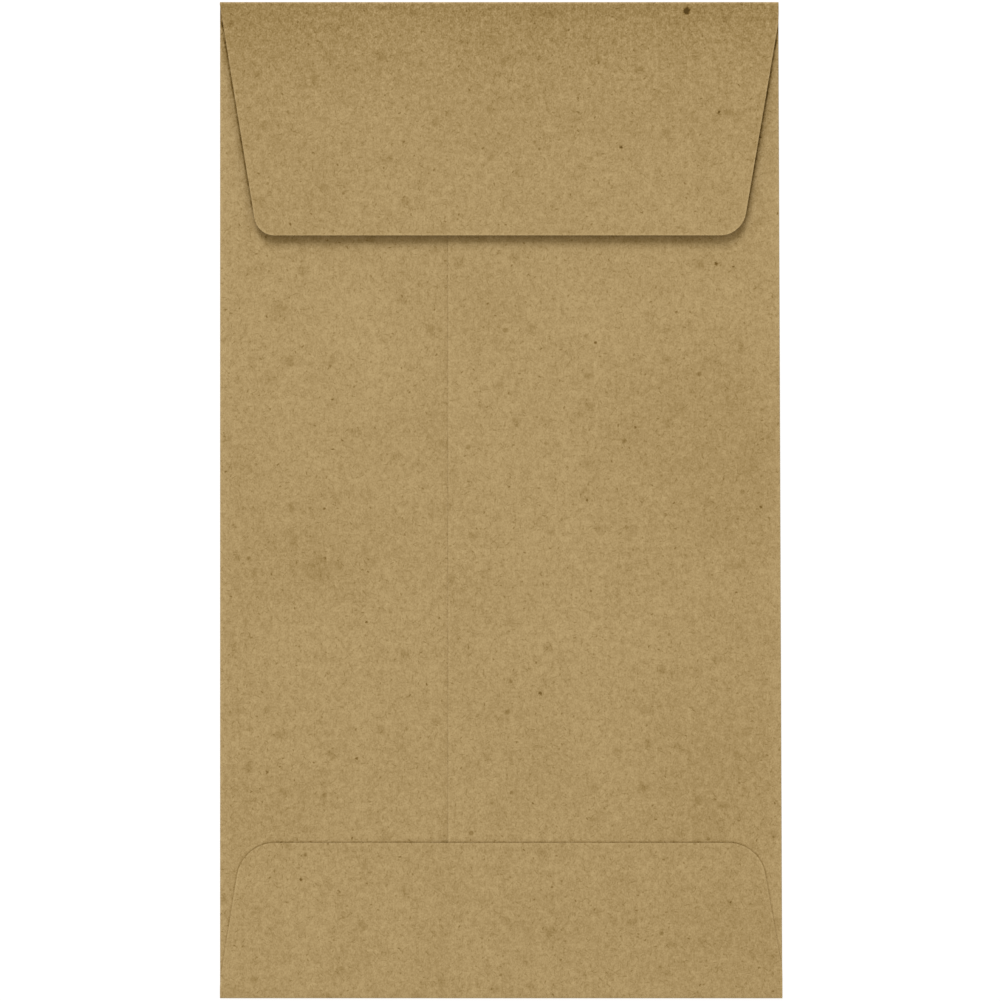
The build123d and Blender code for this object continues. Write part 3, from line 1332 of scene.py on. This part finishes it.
@dataclass(frozen=True)
class SoftLamp:
    """A large soft lamp far from the envelope.

    Attributes:
        name: Name of the lamp.
        level: Brightness that it adds to a white sheet on the floor.
        elevation: Angle above the floor, in degrees.
        azimuth: Angle to the left of straight beyond the closing fold, in degrees.
        spread: Angles that it covers across and up, in degrees.
        colour: Colour of its light.
        distance: Distance from the envelope.
    """

    name: str
    level: float
    elevation: float
    azimuth: float
    spread: tuple[float, float]
    colour: tuple[float, float, float]
    distance: float = 4.0

    def make(self) -> bpy.types.Object:
        """Hang the lamp and aim it at the envelope."""
        rise = math.radians(self.elevation)
        turn = math.radians(self.azimuth)
        towards = Vector((-math.sin(turn) * math.cos(rise), math.cos(turn) * math.cos(rise), math.sin(rise)))
        light = bpy.data.lights.new(self.name, "AREA")
        light.shape = "RECTANGLE"
        light.size, light.size_y = (2.0 * self.distance * math.tan(math.radians(angle / 2)) for angle in self.spread)
        light.color = self.colour
        light.energy = self.level * math.pi**2 * self.distance**2 / math.sin(rise)
        lamp = bpy.data.objects.new(self.name, light)
        lamp.location = towards * self.distance
        lamp.rotation_euler = towards.to_track_quat("Z", "Y").to_euler()
        bpy.context.scene.collection.objects.link(lamp)
        return lamp


@dataclass(frozen=True)
class SoftStudio:
    """Even light from all round, a main lamp beyond the closing fold and a weak one facing it.

    Attributes:
        sky: Strength of the light from all round.
        sky_colour: Its colour, a little warm.
        lamps: The lamps, whose light makes up for that.
    """

    sky: float = 0.48
    sky_colour: tuple[float, float, float] = (1.05, 1.0, 0.86)
    lamps: tuple[SoftLamp, ...] = (
        SoftLamp("main_lamp", 0.44, 37.5, 10.0, (26.0, 24.0), (0.95, 1.0, 1.14)),
        SoftLamp("facing_lamp", 0.11, 30.0, 185.0, (50.0, 30.0), (1.0, 1.0, 1.0)),
    )

    def world(self) -> None:
        """Light the scene evenly from all round, with white behind everything."""
        world = bpy.data.worlds.new("soft_sky")
        world.use_nodes = True
        tree = world.node_tree
        tree.nodes.clear()
        path = tree.nodes.new("ShaderNodeLightPath")
        light = tree.nodes.new("ShaderNodeBackground")
        light.inputs["Color"].default_value = (*self.sky_colour, 1.0)
        light.inputs["Strength"].default_value = self.sky
        white = tree.nodes.new("ShaderNodeBackground")
        white.inputs["Color"].default_value = (1.0, 1.0, 1.0, 1.0)
        seen = tree.nodes.new("ShaderNodeMixShader")
        tree.links.new(path.outputs["Is Camera Ray"], seen.inputs[0])
        tree.links.new(light.outputs[0], seen.inputs[1])
        tree.links.new(white.outputs[0], seen.inputs[2])
        output = tree.nodes.new("ShaderNodeOutputWorld")
        tree.links.new(seen.outputs[0], output.inputs["Surface"])
        bpy.context.scene.world = world


@dataclass(frozen=True)
class OverheadCamera:
    """A camera that looks straight down through a long lens.

    Attributes:
        lens: Focal length, in the camera's own millimetres.
        film: Long side of the film, in the same.
        fill: Share of the picture's height that the envelope takes.
        shift_x: How far the envelope stands right of the picture's middle.
        shift_y: How far it stands above the picture's middle.
    """

    lens: float = 150.0
    film: float = 36.0
    fill: float = 0.9954
    shift_x: float = 0.18 * MM
    shift_y: float = 0.045 * MM

    def make(self, outline: Outline, level: float) -> bpy.types.Object:
        """Place the camera over the envelope.

        Args:
            outline: The envelope's fold lines.
            level: Height of the surface that is framed.

        Returns:
            The scene's camera.
        """
        data = bpy.data.cameras.new("overhead")
        data.lens = self.lens
        data.sensor_width = self.film
        camera = bpy.data.objects.new("overhead", data)
        seen = (outline.top - outline.bottom) / self.fill
        middle_x = (outline.left + outline.right_at_bottom) / 2
        middle_y = (outline.bottom + outline.top) / 2
        distance = seen * self.lens / self.film
        camera.location = (middle_x - self.shift_x, middle_y - self.shift_y, level + distance)
        bpy.context.scene.collection.objects.link(camera)
        bpy.context.scene.camera = camera
        return camera


def main() -> None:
    """Build the envelope, its floor, its light and its camera."""
    logging.basicConfig(level=logging.INFO, format="%(name)s: %(message)s")
    bpy.context.scene.view_settings.view_transform = "Standard"
    outline = Outline.of_node("envelope")
    layers = Layers(outline)
    sheet = FoldedSheet(outline, layers)

    grid = SheetMesh(layers.sheet)
    for patch in sheet.patches():
        grid.add(patch)
    envelope = grid.build("folded_sheet")
    envelope.data.materials.append(KraftPaper().make(sheet))
    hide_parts("envelope")
    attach(envelope, "root")
    log.info("%s: %d faces", envelope.name, len(envelope.data.polygons))

    floor = PaleFloor().make(cad_box[0].z)
    log.info("%s laid at %.5f m", floor.name, floor.location.z)
    studio = SoftStudio()
    studio.world()
    for lamp in studio.lamps:
        log.info("%s at %.1f W", lamp.name, lamp.make().data.energy)
    camera = OverheadCamera().make(outline, layers.sheet * 4)
    log.info("%s at %.3f m", camera.name, camera.location.z)


if __name__ == "__main__":
    main()
